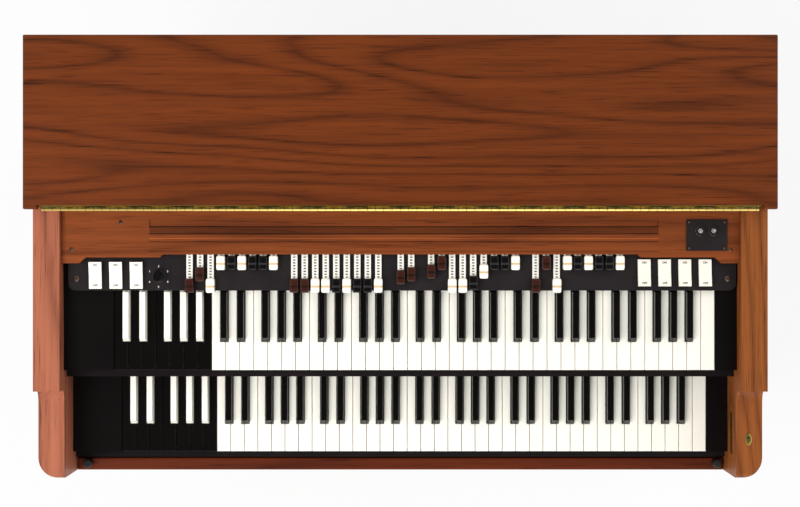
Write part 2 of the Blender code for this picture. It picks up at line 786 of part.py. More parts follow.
# Drawbars: one group slides, the others are set as in the photograph on their manifold
manifold_front = plate_back + seat_gap
first_x = min(start for start, pulls in drawbar_groups.values())
last_x = max(start + (len(pulls) - 1) * drawbar_pitch for start, pulls in drawbar_groups.values())
manifold_x = (first_x - manifold_margin, last_x + manifold_margin)
manifold = block("drawbar_manifold", manifold_x, (manifold_front, manifold_front + manifold_depth),
                 (manifold_top - manifold_height, manifold_top))
lugs = [block("lug", (x, x + manifold_lug), (manifold_front + manifold_lug, manifold_front + 5 * manifold_lug),
              (manifold_top - mm, shelf_underside - seat_gap))
        for x in (manifold_x[0], manifold_x[1] - manifold_lug)]
fixed_bars = []
for group, (start, pulls) in drawbar_groups.items():
    for i, pull in enumerate(pulls):
        x = start + i * drawbar_pitch
        if group == moving_group:
            finish(drawbar(f"drawbar_{i + 1}", x, pull), brown if i < 2 else white_plastic,
                   (x, drawbar_front_in, rod_bottom))
        else:
            fixed_bars.append(drawbar("bar", x, pull, lower=join_overlap))
finish(fused(manifold, joined("lugs", lugs), joined("bars", fixed_bars)), felt_black)

# Walnut shelf, its switch plate and the two toggles
side_steps = [(-side_gap, shelf_end_front), (-shelf_end_half, shelf_end_front),
              (-shelf_shoulder_half, shelf_shoulder_front), (-shelf_centre_half, shelf_shoulder_front),
              (-shelf_centre_half + 5 * mm, shelf_front)]
shelf_outline = side_steps + [(-x, y) for x, y in reversed(side_steps)] + [(side_gap, shelf_back),
                                                                          (-side_gap, shelf_back)]
shelf = prism("shelf_panel", shelf_outline, "Z", shelf_underside, shelf_top)
grooves = [block("band", (groove_left, groove_right), sunken_band, (shelf_top - groove_depth, shelf_top + mm))]
grooves += [block("line", (groove_left, groove_right), (y - scored_width / 2, y + scored_width / 2),
                  (shelf_top - groove_depth / 2, shelf_top + mm)) for y in scored_lines]
finish(cut(shelf, joined("grooves", grooves)), walnut)
switch_low = shelf_top + seat_gap
switch_top = switch_low + sheet_thickness
switch_plate = block("switch_plate", switch_plate_x, switch_plate_y, (switch_low, switch_top))
bezel_top = switch_top + bezel_height
bezels = []
for x in toggle_x:
    ring = turned("ring", [(switch_low + mm, bezel_radius), (bezel_top, bezel_radius)], "Z",
                  (x, toggle_y, 0), 12)
    bore = turned("bore", [(switch_top, 0.45 * bezel_radius), (bezel_top + mm, 0.8 * bezel_radius)], "Z",
                  (x, toggle_y, 0), 12)
    bezels.append(cut(ring, bore))
finish(fused(switch_plate, joined("bezels", bezels)), plate_black)
for name, x, lean in zip(toggle_names, toggle_x, toggle_lean):
    low = switch_top + seat_gap
    pivot = (x, toggle_y, low + toggle_root_radius)
    lever = turned(name, [(low, 0.6 * toggle_root_radius), (low + mm, toggle_root_radius),
                          (low + 0.7 * toggle_length, toggle_tip_radius),
                          (low + 0.9 * toggle_length, toggle_tip_radius),
                          (low + toggle_length, 0.6 * toggle_tip_radius)], "Z", (x, toggle_y, 0), 12)
    turn_mesh(lever, pivot, "X", lean * toggle_tilt)
    finish(lever, steel, pivot)

# Lid lock
plate_inner = inner_half
lock_plate = block("lock_case", (plate_inner, plate_inner + lock_plate_thickness),
                   (lock_y - lock_plate_length / 2, lock_y + lock_plate_length / 2),
                   (lock_z - lock_plate_height / 2, lock_z + lock_plate_height / 2))
lock_body = block("body", (plate_inner + lock_plate_thickness / 2, plate_inner + lock_case_width),
                  (lock_y - lock_case_length / 2, lock_y + lock_case_length / 2),
                  (lock_z - lock_case_height / 2, lock_z + lock_case_height / 2))
bolt_way = block("way", (plate_inner - mm, plate_inner + bolt_length + seat_gap),
                 (lock_y - bolt_depth / 2 - seat_gap, lock_y + bolt_depth / 2 + seat_gap),
                 (lock_z - bolt_height / 2 - seat_gap, lock_z + bolt_height / 2 + seat_gap))
finish(cut(fused(lock_plate, lock_body), bolt_way), brass)
finish(block("lock_bolt", (plate_inner, plate_inner + bolt_length),
             (lock_y - bolt_depth / 2, lock_y + bolt_depth / 2),
             (lock_z - bolt_height / 2, lock_z + bolt_height / 2)), brass, (plate_inner, lock_y, lock_z))

# Tone generator on the key bed
generator_back = back_inner - generator_back_gap
generator_low = key_bed_top + seat_gap
generator = block("tone_generator", (-generator_length / 2, generator_length / 2),
                  (generator_back - generator_depth, generator_back),
                  (generator_low, generator_low + generator_height), 4 * edge_ease)
motor = turned("motor", [(generator_length / 2 - mm, motor_radius),
                         (generator_length / 2 + motor_length, motor_radius)], "X",
               (0, generator_back - generator_depth / 2, generator_low + generator_height / 2), 16)
finish(fused(generator, motor), steel)


def turned_leg(x, y):
    """A square leg turned between its blocks."""
    half = leg_width / 2
    pieces = []
    for low, high in [(runner_height - mm, foot_block_top), lower_block,
                      (upper_block_bottom, case_bottom - seat_gap)]:
        pieces.append(block("square", (x - half, x + half), (y - half, y + half), (low, high)))
    for low, high in [(foot_block_top, lower_block[0]), (lower_block[1], upper_block_bottom)]:
        length = high - low
        shape = [(0.0, leg_belly_radius), (0.06, leg_belly_radius), (0.1, leg_neck_radius)]
        if length > 3 * leg_width:
            shape += [(0.3, leg_neck_radius + 3 * mm), (0.72, leg_belly_radius), (0.86, leg_neck_radius + 2 * mm)]
        shape += [(0.9, leg_neck_radius), (0.94, leg_belly_radius), (1.0, leg_belly_radius)]
        profile = [(low + share * length, radius) for share, radius in shape]
        profile[0] = (low - mm, leg_belly_radius)
        profile[-1] = (high + mm, leg_belly_radius)
        pieces.append(turned("shaft", profile, "Z", (x, y, 0), 8))
    return joined("squares", pieces[:3]), joined("shafts", pieces[3:])


def leg_frame(side):
    """A runner with two turned legs under one end of the case."""
    x = side * abs(left_leg_x)
    front = case_front + runner_inset
    back = case_back - runner_inset
    radius = runner_end_radius
    outline = [(back, 0), (back, runner_height - radius)]
    outline += arc(back - radius, runner_height - radius, radius, 0, 90, 5)[1:]
    outline += arc(front + radius, runner_height - radius, radius, 90, 180, 5)[:-1]
    outline += [(front, runner_height - radius), (front, 0)]
    frame = prism("left_leg_frame" if side < 0 else "right_leg_frame", outline, "X",
                  x - runner_width / 2, x + runner_width / 2)
    for y in (case_front + leg_inset, case_back - leg_inset):
        squares, shafts = turned_leg(x, y)
        fused(frame, squares, shafts)
    finish(frame, walnut_dark)


leg_frame(-1)
leg_frame(1)

# Toe board between the rear legs, with the expression pedal on its shaft
leg_face = abs(left_leg_x) - leg_width / 2 - seat_gap
rear_leg_y = case_back - leg_inset
toe_front = rear_leg_y - board_thickness / 2
lug_outer = pedal_width / 2 + lug_gap + lug_thickness
toe_board = block("toe_board", (-leg_face, leg_face), (toe_front, toe_front + board_thickness),
                  (lower_block[0] + toe_board_inset, lower_block[0] + toe_board_inset + toe_board_height))
for side in (-1, 1):
    edges = sorted((pedal_x + side * lug_outer, pedal_x + side * (lug_outer - lug_thickness)))
    lug = block("lug", edges, (pedal_pivot_y - lug_height / 2, toe_front + mm),
                (pedal_pivot_z - lug_height / 2, pedal_pivot_z + lug_height / 2))
    bore = turned("bore", [(edges[0] - mm, pedal_shaft_radius + seat_gap),
                           (edges[1] + mm, pedal_shaft_radius + seat_gap)], "X",
                  (0, pedal_pivot_y, pedal_pivot_z), 16)
    fused(toe_board, cut(lug, bore))
finish(toe_board, walnut_dark)
pedal_low = pedal_pivot_z + pedal_shaft_drop - pedal_thickness
pedal = block("expression_pedal", (pedal_x - pedal_width / 2, pedal_x + pedal_width / 2),
              (pedal_pivot_y - pedal_length / 2, pedal_pivot_y + pedal_length / 2),
              (pedal_low, pedal_low + pedal_thickness), edge_ease)
treads = []
for i in range(pedal_tread_count):
    y = pedal_pivot_y + (i - (pedal_tread_count - 1) / 2) * pedal_length / (pedal_tread_count + 1)
    treads.append(block("tread", (pedal_x - pedal_width / 2 - mm, pedal_x + pedal_width / 2 + mm),
                        (y - pedal_tread_depth, y + pedal_tread_depth),
                        (pedal_low + pedal_thickness - pedal_tread_depth, pedal_low + 2 * pedal_thickness)))
boss = block("boss", (pedal_x - pedal_width / 3, pedal_x + pedal_width / 3),
             (pedal_pivot_y - 2 * pedal_shaft_radius, pedal_pivot_y + 2 * pedal_shaft_radius),
             (pedal_pivot_z - 2 * pedal_shaft_radius, pedal_low + mm))
shaft = turned("shaft", [(pedal_x - lug_outer, pedal_shaft_radius), (pedal_x + lug_outer, pedal_shaft_radius)],
               "X", (0, pedal_pivot_y, pedal_pivot_z), 16)
pedal = fused(cut(pedal, joined("treads", treads)), boss, shaft)
turn_mesh(pedal, (pedal_x, pedal_pivot_y, pedal_pivot_z), "X", pedal_tilt)
finish(pedal, tread, (pedal_x, pedal_pivot_y, pedal_pivot_z))
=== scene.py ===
import math

import bpy
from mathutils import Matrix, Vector
from mathutils.bvhtree import BVHTree
import numpy as np


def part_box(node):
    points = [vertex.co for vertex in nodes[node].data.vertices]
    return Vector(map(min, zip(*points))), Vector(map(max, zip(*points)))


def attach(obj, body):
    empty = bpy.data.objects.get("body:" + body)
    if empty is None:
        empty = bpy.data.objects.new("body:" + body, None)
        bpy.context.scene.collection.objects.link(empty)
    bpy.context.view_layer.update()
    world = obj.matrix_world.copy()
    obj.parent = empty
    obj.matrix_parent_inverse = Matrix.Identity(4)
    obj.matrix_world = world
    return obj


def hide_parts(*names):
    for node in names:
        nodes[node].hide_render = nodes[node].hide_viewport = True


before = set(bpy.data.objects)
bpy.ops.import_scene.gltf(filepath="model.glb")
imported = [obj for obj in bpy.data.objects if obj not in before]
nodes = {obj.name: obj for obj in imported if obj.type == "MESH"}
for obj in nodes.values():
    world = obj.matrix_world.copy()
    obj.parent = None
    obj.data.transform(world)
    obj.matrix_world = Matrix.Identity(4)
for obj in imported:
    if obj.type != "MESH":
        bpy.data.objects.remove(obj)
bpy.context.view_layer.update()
mm = 0.001

# Camera and studio
# The photograph looks straight down on the console from about two and a half metres above the lid.
# Floor and world read as white paper. Two soft boxes light the case without showing in its polish,
# and a third at the front gives the black keys their streaks.
camera = bpy.data.objects.new("camera", bpy.data.cameras.new("camera"))
camera.data.lens = 70.63
camera.data.sensor_width = 36.0
camera.data.clip_end = 50.0
camera.location = (-0.5 * mm, 11 * mm, 3574 * mm)
bpy.context.scene.collection.objects.link(camera)
bpy.context.scene.camera = camera
bpy.context.scene.view_settings.view_transform = "Standard"


def linear(value):
    """An sRGB hex colour as linear red, green, blue and alpha."""
    channels = [int(value[i:i + 2], 16) / 255 for i in (1, 3, 5)]
    return [c / 12.92 if c <= 0.04045 else ((c + 0.055) / 1.055) ** 2.4 for c in channels] + [1.0]


def add_node(tree, kind, links=(), **settings):
    """Adds a node. Settings named in_N set input N, others a property or the input of that name, and
    links are pairs of an output and an input's name or number."""
    item = tree.nodes.new(kind)
    for key, value in settings.items():
        if key.startswith("in_"):
            item.inputs[int(key[3:])].default_value = value
        elif hasattr(item, key):
            setattr(item, key, value)
        else:
            item.inputs[key.replace("_", " ").title()].default_value = value
    for output, target in links:
        tree.links.new(output, item.inputs[target])
    return item


def new_material(name):
    """An empty node material with its output node."""
    made = bpy.data.materials.new(name)
    made.use_nodes = True
    made.node_tree.nodes.clear()
    tree = made.node_tree
    return made, tree, add_node(tree, "ShaderNodeOutputMaterial")


def add_light(name, place, aim, size, power, mirrored=False):
    """A square soft light at place, turned to face aim; mirrored if shiny surfaces show it."""
    lamp = bpy.data.objects.new(name, bpy.data.lights.new(name, "AREA"))
    lamp.data.shape = "SQUARE"
    lamp.data.size = size
    lamp.data.energy = power
    lamp.location = place
    lamp.rotation_euler = (Vector(aim) - Vector(place)).to_track_quat("-Z", "Y").to_euler()
    bpy.context.scene.collection.objects.link(lamp)
    lamp.visible_camera = False
    lamp.visible_glossy = mirrored


add_light("key_light", (-1.6, -0.6, 3.3), (0, 0, 0.9), 1.6, 62)
add_light("fill_light", (1.9, 1.2, 2.6), (0, 0, 0.9), 2.0, 26)
add_light("front_light", (0.2, -2.6, 1.8), (0, 0, 0.8), 1.6, 22, mirrored=True)

ambient_level = 0.55
zenith_starts, zenith_ends, zenith_level = 0.8, 0.97, 0.03
world = bpy.data.worlds.new("studio")
bpy.context.scene.world = world
world.use_nodes = True
tree = world.node_tree
tree.nodes.clear()
ray = add_node(tree, "ShaderNodeLightPath")
to_camera, to_gloss = ray.outputs["Is Camera Ray"], ray.outputs["Is Glossy Ray"]
direction = add_node(tree, "ShaderNodeTexCoord")
upward = add_node(tree, "ShaderNodeSeparateXYZ", [(direction.outputs["Generated"], 0)])
canopy = add_node(tree, "ShaderNodeMapRange", [(upward.outputs[2], 0)], in_1=zenith_starts, in_2=zenith_ends,
                  in_3=1.0, in_4=zenith_level)
mirrored = add_node(tree, "ShaderNodeMath", [(to_gloss, 0), (canopy.outputs[0], 1)], operation="MULTIPLY")
direct = add_node(tree, "ShaderNodeMath", [(to_camera, 0), (to_gloss, 1)], operation="MAXIMUM")
ambient = add_node(tree, "ShaderNodeMapRange", [(direct.outputs[0], 0)], in_3=ambient_level, in_4=0.0)
seen = add_node(tree, "ShaderNodeMath", [(to_camera, 0), (mirrored.outputs[0], 1)], operation="ADD")
level = add_node(tree, "ShaderNodeMath", [(seen.outputs[0], 0), (ambient.outputs[0], 1)], operation="ADD")
sky = add_node(tree, "ShaderNodeBackground", [(level.outputs[0], 1)], in_0=(1, 1, 1, 1))
add_node(tree, "ShaderNodeOutputWorld", [(sky.outputs[0], 0)])

floor_half = 12.0
paper_glow = 0.8
floor_mesh = bpy.data.meshes.new("floor")
corners = [(x * floor_half, y * floor_half, 0) for x, y in [(-1, -1), (1, -1), (1, 1), (-1, 1)]]
floor_mesh.from_pydata(corners, [], [(0, 1, 2, 3)])
floor = bpy.data.objects.new("floor", floor_mesh)
bpy.context.scene.collection.objects.link(floor)
paper, tree, out = new_material("white paper")
shade = add_node(tree, "ShaderNodeBsdfDiffuse", in_0=(0.86, 0.86, 0.86, 1))
glow = add_node(tree, "ShaderNodeEmission", in_0=(1, 1, 1, 1), in_1=1.0)
ray = add_node(tree, "ShaderNodeLightPath")
share = add_node(tree, "ShaderNodeMath", [(ray.outputs["Is Camera Ray"], 0)], operation="MULTIPLY",
                 in_1=paper_glow)
both = add_node(tree, "ShaderNodeMixShader", [(share.outputs[0], 0), (shade.outputs[0], 1),
                                              (glow.outputs[0], 2)])
tree.links.new(both.outputs[0], out.inputs[0])
floor_mesh.materials.append(paper)


# Runners and turned legs
# Each end of the case stands on a walnut runner with two legs. A leg is square at its joints and
# smoothly turned between them, its edges are eased, and the whole frame is lacquered dark.
figure_width, figure_length = 227.27 * mm, 2045.5 * mm
streak_width, streak_length = 8.333 * mm, 416.7 * mm
pore_width, pore_length = 1.6129 * mm, 71.43 * mm
pore_depth = 0.1 * mm
ring_strength, streak_strength, pore_strength = 0.4125, 0.3375, 0.55


def walnut(name, pale, dark, grain, place, ring_count, painted_shade_bands=()):
    """Plain-sawn walnut veneer, sanded and sprayed with satin lacquer, which leaves its open pores as short
    dark dashes. Grain is the axis that it runs along. The growth rings are contour lines of a broad smooth
    noise, ring_count of them over its whole height, each dark on its late-wood edge. Streaks and pores are
    finer noises stretched along the grain; the pores are drawn several times too wide, so that they show.
    Painted shade bands (x middle, x half, y middle, y half, share of shade) multiply the colour in strips:
    painted shade along the grooves of a board, and a painted highlight where the share is negative."""
    made, tree, out = new_material(name)

    def stretched(width, length):
        """Scale of a Mapping node for a noise this wide across the grain and this long with it."""
        return [1 / length if axis == grain else 1 / width for axis in "XYZ"]

    spot = add_node(tree, "ShaderNodeTexCoord").outputs["Object"]
    wide = add_node(tree, "ShaderNodeMapping", [(spot, 0)], in_1=place,
                    in_3=stretched(figure_width, figure_length))
    field = add_node(tree, "ShaderNodeTexNoise", [(wide.outputs[0], 0)], in_2=1.0, in_3=2.0, in_4=0.42)
    rings = add_node(tree, "ShaderNodeMath", [(field.outputs[0], 0)], operation="MULTIPLY", in_1=ring_count)
    fold = add_node(tree, "ShaderNodeMath", [(rings.outputs[0], 0)], operation="PINGPONG", in_1=0.5)
    edge = add_node(tree, "ShaderNodeMapRange", [(fold.outputs[0], 0)], in_1=0.0, in_2=0.5, in_3=1.0,
                    in_4=0.0)
    late = add_node(tree, "ShaderNodeMath", [(edge.outputs[0], 0)], operation="POWER", in_1=2.6)
    ring_shade = add_node(tree, "ShaderNodeMath", [(late.outputs[0], 0)], operation="MULTIPLY",
                          in_1=ring_strength)
    narrow = add_node(tree, "ShaderNodeMapping", [(spot, 0)], in_3=stretched(streak_width, streak_length))
    streaks = add_node(tree, "ShaderNodeTexNoise", [(narrow.outputs[0], 0)], in_2=1.0, in_3=4.0, in_4=0.65)
    streak_shade = add_node(tree, "ShaderNodeMapRange", [(streaks.outputs[0], 0)], in_1=0.3, in_2=0.7,
                            in_3=0.0, in_4=streak_strength)
    fine = add_node(tree, "ShaderNodeMapping", [(spot, 0)], in_3=stretched(pore_width, pore_length))
    dots = add_node(tree, "ShaderNodeTexNoise", [(fine.outputs[0], 0)], in_2=1.0, in_3=2.0, in_4=0.5)
    pores = add_node(tree, "ShaderNodeMapRange", [(dots.outputs[0], 0)], in_1=0.56, in_2=0.74, in_3=0.0,
                     in_4=pore_strength)
    first = add_node(tree, "ShaderNodeMath", [(ring_shade.outputs[0], 0), (streak_shade.outputs[0], 1)],
                     operation="ADD")
    total = add_node(tree, "ShaderNodeMath", [(first.outputs[0], 0), (pores.outputs[0], 1)], operation="ADD",
                     use_clamp=True)
    colour = add_node(tree, "ShaderNodeValToRGB", [(total.outputs[0], 0)])
    colour.color_ramp.elements[0].color = linear(pale)
    colour.color_ramp.elements[1].color = linear(dark)
    axes = add_node(tree, "ShaderNodeSeparateXYZ", [(spot, 0)])
    # Painted shade: each band darkens the colour by its share, and a negative share paints a highlight.
    for x_middle, x_half, y_middle, y_half, shade in painted_shade_bands:
        in_x = add_node(tree, "ShaderNodeMath", [(axes.outputs[0], 0)], operation="COMPARE", in_1=x_middle,
                        in_2=x_half)
        in_y = add_node(tree, "ShaderNodeMath", [(axes.outputs[1], 0)], operation="COMPARE", in_1=y_middle,
                        in_2=y_half)
        inside = add_node(tree, "ShaderNodeMath", [(in_x.outputs[0], 0), (in_y.outputs[0], 1)],
                          operation="MULTIPLY")
        dim = add_node(tree, "ShaderNodeMapRange", [(inside.outputs[0], 0)], in_3=1.0, in_4=1 - shade)
        colour = add_node(tree, "ShaderNodeVectorMath", [(colour.outputs[0], 0), (dim.outputs[0], 1)],
                          operation="MULTIPLY")
    bump = add_node(tree, "ShaderNodeBump", [(pores.outputs[0], "Height")], strength=0.15,
                    distance=pore_depth)
    rough = add_node(tree, "ShaderNodeMapRange", [(streaks.outputs[0], 0)], in_3=0.36, in_4=0.5)
    face = add_node(tree, "ShaderNodeBsdfPrincipled", [(colour.outputs[0], "Base Color"),
                                                       (rough.outputs[0], "Roughness"),
                                                       (bump.outputs[0], "Normal")], coat_weight=0.02,
                    coat_roughness=0.25)
    face.inputs["Specular IOR Level"].default_value = 0.2
    tree.links.new(face.outputs[0], out.inputs[0])
    return made


def dress(material, *names):
    """Gives CAD nodes a material in every slot."""
    for name in names:
        item = nodes[name]
        if not item.data.materials:
            item.data.materials.append(material)
        for holder in item.material_slots:
            holder.material = material


crease = math.radians(38)


def surface(name, points, faces, materials, body, slot, indices=None, smooth=True):
    """A mesh piece from arrays of points and faces, riding on a body."""
    mesh = bpy.data.meshes.new(name)
    mesh.from_pydata(np.asarray(points).tolist(), [], [list(map(int, f)) for f in faces])
    for item in materials:
        mesh.materials.append(item)
    if indices is not None:
        mesh.polygons.foreach_set("material_index", np.asarray(indices, dtype=np.int32))
    piece = bpy.data.objects.new(name, mesh)
    bpy.context.scene.collection.objects.link(piece)
    if smooth:
        mesh.shade_smooth()
        mesh.set_sharp_from_angle(angle=crease)
    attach(piece, body)
    return piece


def gathered(parts):
    """Several (points, faces) parts as one."""
    starts = np.cumsum([0] + [len(points) for points, faces in parts])
    faces = [[start + i for i in face] for start, (points, those) in zip(starts, parts) for face in those]
    return np.concatenate([points for points, those in parts]), faces


def stacked(rings):
    """Points and faces of a stack of rings with the same number of points, which turn anticlockwise seen
    from the last one, joined by quads and closed at both ends."""
    rings = np.array(rings, float)
    count, sides = rings.shape[:2]
    row, column = np.meshgrid(np.arange(count - 1), np.arange(sides), indexing="ij")
    a = (row * sides + column).ravel()
    b = (row * sides + (column + 1) % sides).ravel()
    faces = np.stack([a, b, b + sides, a + sides], axis=1).tolist()
    faces.append(list(range(sides))[::-1])
    faces.append([(count - 1) * sides + i for i in range(sides)])
    return rings.reshape(-1, 3), faces


def lathe(profile, centre, sides):
    """A profile of (radius, height) turned round an upright axis through centre: point k of a ring is
    the radius times the cosine and sine of k turns of a side."""
    profile = np.array(profile, float)
    turn = 2 * math.pi * np.arange(sides) / sides
    height = np.repeat(profile[:, 1:], sides, axis=1)
    rings = np.stack([profile[:, :1] * np.cos(turn), profile[:, :1] * np.sin(turn), height], axis=-1)
    return stacked(rings + np.array(centre))


leg_half = 27 * mm
leg_ease = 2 * mm
leg_belly, leg_neck = 26 * mm, 15 * mm
leg_blocks = [(59 * mm, 118 * mm), (150 * mm, 330 * mm), (634 * mm, 734.7 * mm)]
leg_place = 303 * mm
long_shaft = 200 * mm
runner_middle = 30 * mm
runner_round = 30 * mm
leg_wood = walnut("walnut legs", "#5e2a17", "#2c1108", "Z", place=(6.82, 0.88, 0), ring_count=5)


def leg_block(x, y, low, high):
    """A square block with its corners cut and its end edges eased."""
    rings = []
    for z, half in [(low, leg_half - leg_ease), (low + leg_ease, leg_half), (high - leg_ease, leg_half),
                    (high, leg_half - leg_ease)]:
        flat = half - leg_ease
        ring = [(half, -flat), (half, flat), (flat, half), (-flat, half), (-half, flat), (-half, -flat),
                (-flat, -half), (flat, -half)]
        rings.append([(x + u, y + v, z) for u, v in ring])
    return stacked(rings)


def leg_shaft(x, y, low, high):
    """A turned shaft: between two knots its radius follows half a cosine wave, so it is level at each."""
    knots = [(0, leg_belly), (0.06, leg_belly), (0.1, leg_neck)]
    if high - low > long_shaft:
        knots += [(0.3, leg_neck + 3 * mm), (0.72, leg_belly), (0.86, leg_neck + 2 * mm)]
    knots += [(0.9, leg_neck), (0.94, leg_belly), (1, leg_belly)]
    profile = []
    for (start, before), (end, after) in zip(knots, knots[1:]):
        for share in np.linspace(0, 1, 9)[:-1]:
            radius = before + (after - before) * (1 - math.cos(math.pi * share)) / 2
            profile.append((radius, low + (high - low) * (start + (end - start) * share)))
    profile.append((leg_belly, high))
    return lathe(profile, (x, y, 0), 40)


def runner(low, high):
    """The runner's side outline with rounded upper ends, carried across with its long edges eased."""
    front, back = low[1], high[1]
    turn = np.radians(np.linspace(0, 90, 10))
    outline = [(back, 0)]
    outline += [(back - runner_round * (1 - math.cos(t)), runner_middle + runner_round * math.sin(t))
                for t in turn]
    outline += [(front + runner_round * (1 - math.sin(t)), runner_middle + runner_round * math.cos(t))
                for t in turn]
    outline += [(front, 0)]
    middle = np.array([(front + back) / 2, low[2] + runner_middle])
    half = np.array([(back - front) / 2, runner_middle])
    rings = []
    for x, ease in [(low[0], leg_ease), (low[0] + leg_ease, 0), (high[0] - leg_ease, 0), (high[0], leg_ease)]:
        flat = middle + (np.array(outline) - middle) * (1 - ease / half)
        rings.append([(x, y, z) for y, z in flat])
    return stacked(rings)


for side in ("left", "right"):
    low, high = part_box(f"{side}_leg_frame")
    x = (low[0] + high[0]) / 2
    parts = [runner(low, high)]
    for y in (-leg_place, leg_place):
        parts += [leg_block(x, y, bottom, top) for bottom, top in leg_blocks]
        parts += [leg_shaft(x, y, below[1], above[0]) for below, above in zip(leg_blocks, leg_blocks[1:])]
    legs = surface(f"{side}_legs_finish", *gathered(parts), [leg_wood], "case", "walnut_dark")
    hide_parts(f"{side}_leg_frame")


# Expression pedal and tone generator
# The pedal is a ribbed aluminium casting on its shaft. The tone generator is a closed box of plated
# sheet steel with its motor, hidden in the case.
def metal(name, colour, roughness, scratch, painted_gap_shade=None):
    """Drawn, rolled or cast metal: a noise with grains of the size scratch (x, y, z) varies its tint and
    roughness, which the eye takes for fine scratches. They are drawn wider than real ones, so that they
    show. Painted gap shade (knuckle length, y middle, half width) darkens the colour of a strip hinge where
    its gaps lie in shade: a ring between every two knuckles, and a dash along every other."""
    made, tree, out = new_material(name)
    spot = add_node(tree, "ShaderNodeTexCoord").outputs["Object"]
    drawn = add_node(tree, "ShaderNodeMapping", [(spot, 0)], in_3=[1 / size for size in scratch])
    lines = add_node(tree, "ShaderNodeTexNoise", [(drawn.outputs[0], 0)], in_2=1.0, in_3=3.0)
    base = np.array(linear(colour))[:3]
    tint = add_node(tree, "ShaderNodeValToRGB", [(lines.outputs[0], 0)])
    tint.color_ramp.elements[0].color = [*(base * 0.75), 1]
    tint.color_ramp.elements[1].color = [*np.minimum(base * 1.15, 1), 1]
    # Painted shade: the colour is darkened in rings and dashes where the hinge's knuckle gaps would be in
    # shadow.
    if painted_gap_shade:
        length, middle, half = painted_gap_shade
        ring_half, barrel_half, leaf_shift, gap_shade_level = 0.35 * mm, 5.2 * mm, 0.7 * mm, 0.16
        axes = add_node(tree, "ShaderNodeSeparateXYZ", [(spot, 0)])
        ends = add_node(tree, "ShaderNodeMath", [(axes.outputs[0], 0)], operation="PINGPONG", in_1=length / 2)
        gap = add_node(tree, "ShaderNodeMath", [(ends.outputs[0], 0)], operation="LESS_THAN", in_1=ring_half)
        barrel = add_node(tree, "ShaderNodeMath", [(axes.outputs[1], 0)], operation="COMPARE", in_1=middle,
                          in_2=barrel_half)
        ring = add_node(tree, "ShaderNodeMath", [(gap.outputs[0], 0), (barrel.outputs[0], 1)],
                        operation="MULTIPLY")
        turn = add_node(tree, "ShaderNodeMath", [(axes.outputs[0], 0)], operation="PINGPONG", in_1=length)
        other = add_node(tree, "ShaderNodeMath", [(turn.outputs[0], 0)], operation="LESS_THAN",
                         in_1=length / 2)
        along = add_node(tree, "ShaderNodeMath", [(axes.outputs[1], 0)], operation="COMPARE",
                         in_1=middle + leaf_shift, in_2=half)
        dash = add_node(tree, "ShaderNodeMath", [(other.outputs[0], 0), (along.outputs[0], 1)],
                        operation="MULTIPLY")
        gap_shade_mask = add_node(tree, "ShaderNodeMath", [(ring.outputs[0], 0), (dash.outputs[0], 1)],
                        operation="MAXIMUM")
        light = add_node(tree, "ShaderNodeMapRange", [(gap_shade_mask.outputs[0], 0)], in_3=1.0, in_4=gap_shade_level)
        tint = add_node(tree, "ShaderNodeVectorMath", [(tint.outputs[0], 0), (light.outputs[0], 1)],
                        operation="MULTIPLY")
    rough = add_node(tree, "ShaderNodeMapRange", [(lines.outputs[0], 0)], in_3=roughness * 0.7,
                     in_4=roughness * 1.4)
    face = add_node(tree, "ShaderNodeBsdfPrincipled", [(tint.outputs[0], "Base Color"),
                                                       (rough.outputs[0], "Roughness")], metallic=1.0)
    tree.links.new(face.outputs[0], out.inputs[0])
    return made


# Sand-cast aluminium is dull and cloudy; plated sheet steel is brighter and smoother.
cast_aluminium = metal("cast aluminium", "#8b8c8e", 0.45, (6.667 * mm, 6.667 * mm, 6.667 * mm))
plated_steel = metal("plated steel", "#c4c4c6", 0.25, (8.333 * mm, 8.333 * mm, 8.333 * mm))
dress(cast_aluminium, "expression_pedal")
dress(plated_steel, "tone_generator")


# Case boards
# The case is built of boards faced with walnut veneer: two end panels cut from flitches of their own,
# a fixed top, and a darker front rail, toe board and back. The keys stand on a birch plywood bed.
left_wood = walnut("walnut left end veneer", "#ac664b", "#5a2a1c", "Y", place=(1.98, 0, 0.88), ring_count=16)
right_wood = walnut("walnut right end veneer", "#965426", "#441f0d", "Y", place=(0.44, 1.1, 0), ring_count=16)
top_wood = walnut("walnut top veneer", "#783a16", "#2f1205", "X", place=(5.06, 1.54, 0), ring_count=24)
rail_wood = walnut("walnut rail", "#6a2a10", "#2a0d04", "X", place=(12.98, 2.42, 0), ring_count=5)
dress(left_wood, "left_end_panel")
dress(right_wood, "right_end_panel")
dress(top_wood, "fixed_top")
dress(rail_wood, "front_rail", "toe_board", "back_panel")
dress(walnut("birch plywood", "#b98d5c", "#8b6238", "X", place=(6.82, 0.88, 0), ring_count=5), "key_bed")


# Fall bumpers
# Two black rubber buttons on the front rail, moulded slightly barrelled, that the fall shuts on.
# Rubber is a dull near black.
cloud_size = 55.56 * mm


